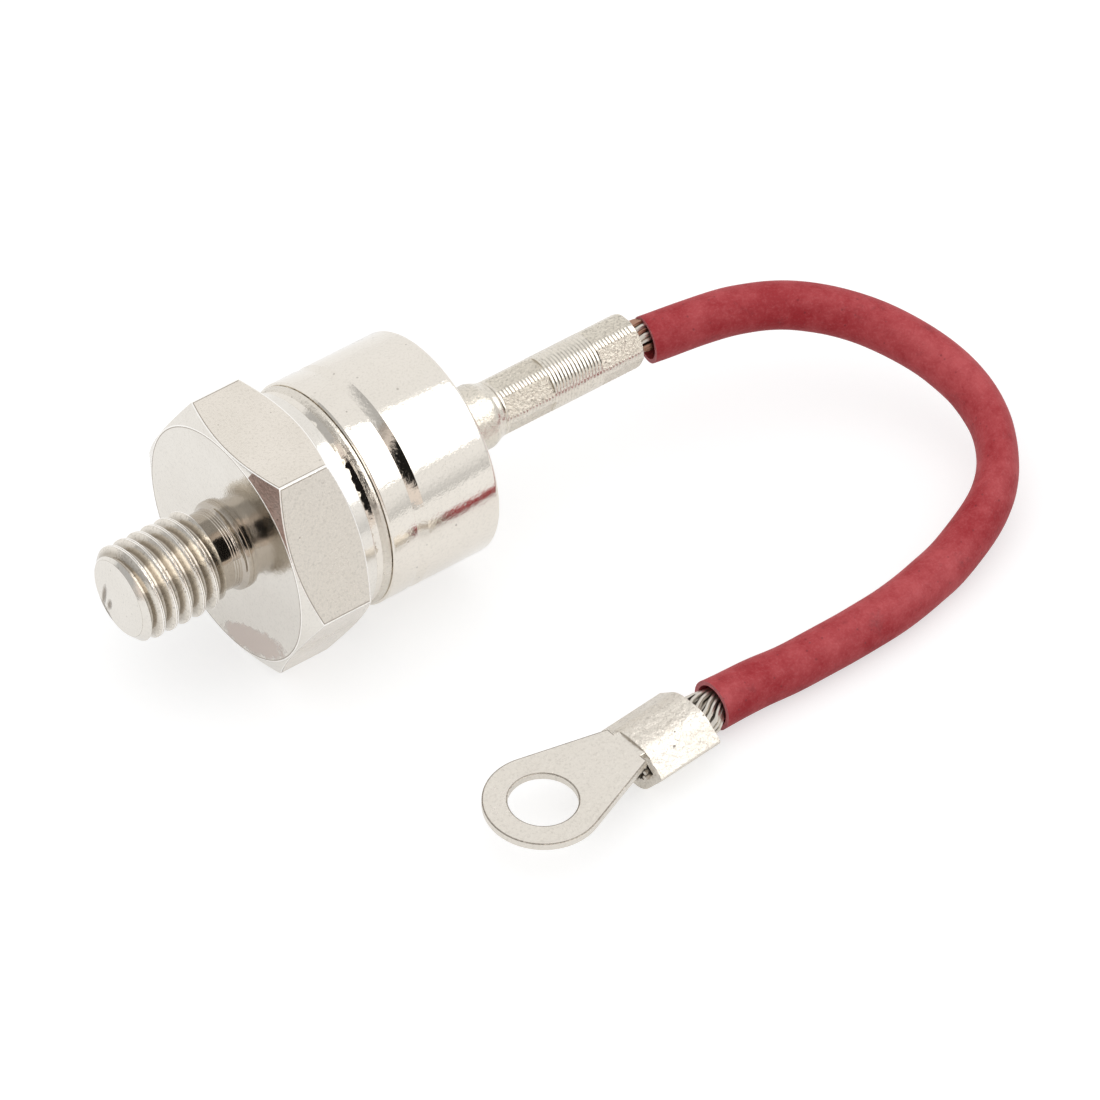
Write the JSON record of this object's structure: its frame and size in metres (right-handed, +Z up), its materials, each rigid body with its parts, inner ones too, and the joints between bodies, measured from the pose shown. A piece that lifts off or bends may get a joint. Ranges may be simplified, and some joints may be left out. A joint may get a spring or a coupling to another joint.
{
  "type": "stud diode",
  "caption": "Stud-mounted power diode with a hexagon base, a round welded cap and a red sleeved lead that ends in a crimped ring lug.",
  "frame": {"origin": "on the surface it lies on, under the middle of the body from the stud's tip to the tube's mouth", "axes": "+X along the turned axis from the stud towards the lead, +Z up, with the part lying on one flat of its hexagon"},
  "size_m": [0.0716, 0.0476, 0.02],
  "materials": {
    "nickel_plated_copper": "worn nickel plating",
    "nickel_plated_steel": "worn nickel plating",
    "weld_steel": "rough weld",
    "tinned_copper": "matt tin",
    "bare_copper": "drawn wire",
    "molybdenum": "ground",
    "silicon": "lapped",
    "seal_glass": "fused bead",
    "red_sleeving": "matt, dusty"
  },
  "bodies": {
    "root": {"stud_base": "nickel_plated_copper", "weld_ring": "weld_steel", "cap": "nickel_plated_steel", "glass_seal": "seal_glass", "terminal_tube": "nickel_plated_copper", "inner_stem": "bare_copper", "upper_plate": "molybdenum", "silicon_die": "silicon", "lower_plate": "molybdenum", "lead_conductor": "bare_copper", "lead_sleeve": "red_sleeving", "ring_lug": "tinned_copper"}
  },
  "joints": []
}
